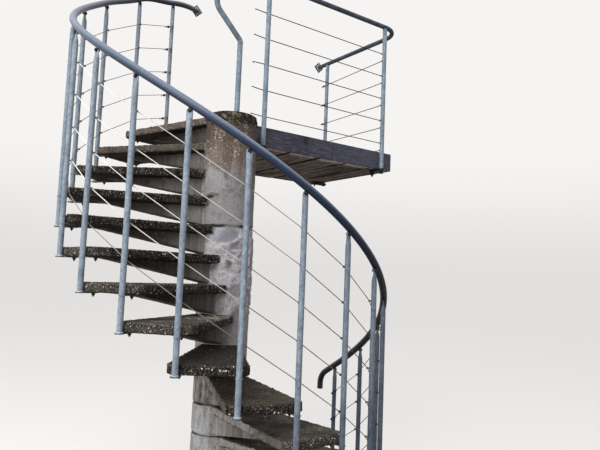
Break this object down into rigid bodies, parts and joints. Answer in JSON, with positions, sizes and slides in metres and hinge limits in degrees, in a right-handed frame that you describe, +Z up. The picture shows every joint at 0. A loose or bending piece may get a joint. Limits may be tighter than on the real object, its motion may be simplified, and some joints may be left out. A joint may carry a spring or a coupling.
{
  "type": "spiral staircase",
  "caption": "Outdoor helical stair: precast concrete steps stacked into a column, landing slab, blue-grey tube guard and wire ropes.",
  "frame": {"origin": "centre of the column's foot, on the ground", "axes": "+Z up; +X along the house wall, towards the landing's far side; +Y towards the wall"},
  "size_m": [2.6443, 2.161, 4.1317],
  "materials": {
    "aggregate_concrete": "weathered exposed aggregate",
    "board_marked_concrete": "weathered, board marked",
    "slate_paint": "matt dark paint, streaked",
    "blue_grey_paint": "satin paint",
    "wire_rope": "stranded wire"
  },
  "bodies": {
    "root": {"step_01": "aggregate_concrete", "step_02": "aggregate_concrete", "step_03": "aggregate_concrete", "step_04": "aggregate_concrete", "step_05": "aggregate_concrete", "step_06": "aggregate_concrete", "step_07": "aggregate_concrete", "step_08": "aggregate_concrete", "step_09": "aggregate_concrete", "step_10": "aggregate_concrete", "step_11": "aggregate_concrete", "step_12": "aggregate_concrete", "step_13": "aggregate_concrete", "step_14": "aggregate_concrete", "step_15": "aggregate_concrete", "step_16": "aggregate_concrete", "column_cap": "aggregate_concrete", "landing_slab": "board_marked_concrete", "landing_facing": "slate_paint", "foot_brackets": "blue_grey_paint", "clamp_brackets": "blue_grey_paint", "landing_brackets": "blue_grey_paint", "balusters_lower": "blue_grey_paint", "balusters_front": "blue_grey_paint", "balusters_left": "blue_grey_paint", "balusters_upper": "blue_grey_paint", "stair_handrail": "blue_grey_paint", "stair_wall_plate": "blue_grey_paint", "newel_post": "blue_grey_paint", "newel_slant": "blue_grey_paint", "landing_post_front": "blue_grey_paint", "landing_post_corner": "blue_grey_paint", "landing_post_wall": "blue_grey_paint", "landing_handrail": "blue_grey_paint", "landing_wall_plate": "blue_grey_paint", "stair_cable_1": "wire_rope", "stair_cable_2": "wire_rope", "stair_cable_3": "wire_rope", "stair_cable_4": "wire_rope", "stair_cable_5": "wire_rope", "landing_cables_front": "wire_rope", "landing_cables_side": "wire_rope"}
  },
  "joints": []
}
